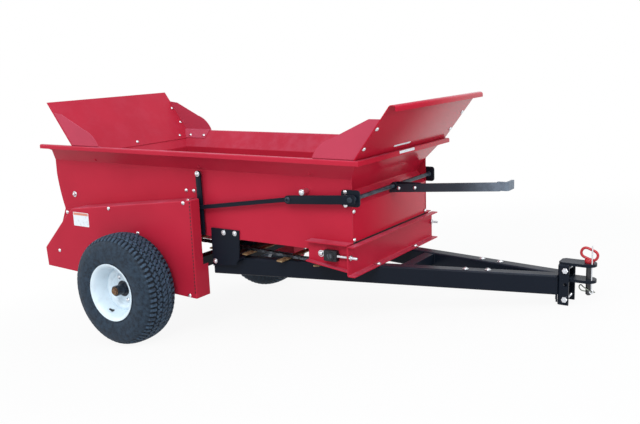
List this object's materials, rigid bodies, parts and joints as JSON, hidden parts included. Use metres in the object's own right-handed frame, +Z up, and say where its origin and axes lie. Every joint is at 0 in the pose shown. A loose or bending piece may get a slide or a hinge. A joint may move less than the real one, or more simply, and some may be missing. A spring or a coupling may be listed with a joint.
{
  "type": "topdresser",
  "caption": "Towed top dresser: hopper on two wheels, apron floor, rear rotor, sloping extension boards, A-frame drawbar with a pin hitch and a hand clutch lever.",
  "frame": {"origin": "centre of the footprint of the parked machine, on the floor", "axes": "+X forward towards the hitch, +Y to the machine's left, +Z up; the machine stands parked with its hitch foot on the floor"},
  "size_m": [2.3632, 1.096, 1.0448],
  "materials": {
    "red_paint": "gloss enamel with dust and light scratches",
    "black_paint": "semi-gloss black enamel",
    "white_paint": "white wheel enamel, dusty",
    "tyre_rubber": "matt black rubber, dusty",
    "zinc_plate": "zinc plated",
    "bare_steel": "bare steel, lightly rusted"
  },
  "bodies": {
    "chassis": {"hopper_side_left": "red_paint", "hopper_side_right": "red_paint", "hopper_front": "red_paint", "hopper_rear": "red_paint", "metering_gate": "red_paint", "hopper_floor": "red_paint", "floor_bearers": "red_paint", "rear_hood": "red_paint", "chute_side_left": "red_paint", "chute_side_right": "red_paint", "board_front": "red_paint", "board_rear": "red_paint", "wing_front_left": "red_paint", "wing_front_right": "red_paint", "wing_rear_left": "red_paint", "wing_rear_right": "red_paint", "idler_housing": "red_paint", "housing_side_left": "red_paint", "housing_side_right": "red_paint", "take_up_left": "black_paint", "take_up_right": "black_paint", "idler_shaft": "bare_steel", "apron_drive_shaft": "bare_steel", "apron_chain_left": "bare_steel", "apron_chain_right": "bare_steel", "apron_slats": "bare_steel", "drawbar_left": "black_paint", "drawbar_right": "black_paint", "drawbar_brace": "black_paint", "drawbar_rear_brace": "black_paint", "hopper_bracket_left": "black_paint", "hopper_bracket_right": "black_paint", "hitch_channel": "black_paint", "clevis": "black_paint", "clevis_bolts": "zinc_plate", "hitch_pin": "zinc_plate", "hairpin": "zinc_plate", "axle": "black_paint", "drive_cover_left": "red_paint", "drive_cover_right": "red_paint", "bearing_plate_left": "black_paint", "bearing_plate_right": "black_paint", "lever_pivot": "zinc_plate", "arm_stop": "zinc_plate"},
    "wheel_left": {"tyre_left": "tyre_rubber", "wheel_left": "white_paint", "hub_left": "bare_steel"},
    "wheel_right": {"tyre_right": "tyre_rubber", "wheel_right": "white_paint", "hub_right": "bare_steel"},
    "rotor": {"rotor": "red_paint"},
    "control": {"cross_shaft": "black_paint", "handle": "black_paint"},
    "link": {"link": "black_paint"},
    "clutch_lever": {"clutch_lever": "black_paint"}
  },
  "joints": [
    {"name": "wheel_left_spin", "type": "hinge", "parent": "chassis", "child": "wheel_left", "pos_m": [-0.59333, 0.466, 0.2285], "axis": [0, 1, 0], "continuous": true},
    {"name": "wheel_right_spin", "type": "hinge", "parent": "chassis", "child": "wheel_right", "pos_m": [-0.59333, -0.466, 0.2285], "axis": [0, 1, 0], "continuous": true},
    {"name": "rotor_spin", "type": "hinge", "parent": "chassis", "child": "rotor", "pos_m": [-1.05906, 0, 0.41262], "axis": [0, 1, 0], "continuous": true},
    {"name": "handle_lift", "type": "hinge", "parent": "chassis", "child": "control", "pos_m": [0.46494, 0, 0.46912], "axis": [0, -1, 0], "range_deg": [0, 28]},
    {"name": "link_swing", "type": "hinge", "parent": "control", "child": "link", "pos_m": [0.20023, -0.3145, 0.49528], "axis": [0, 1, 0], "range_deg": [0, 45]},
    {"name": "lever_swing", "type": "hinge", "parent": "chassis", "child": "clutch_lever", "pos_m": [-0.22665, -0.3075, 0.63735], "axis": [0, -1, 0], "range_deg": [0, 18]}
  ],
  "couplings": [
    {"joint": "link_swing", "follows": "handle_lift", "ratio": 1.586},
    {"joint": "lever_swing", "follows": "handle_lift", "ratio": 0.6096}
  ]
}
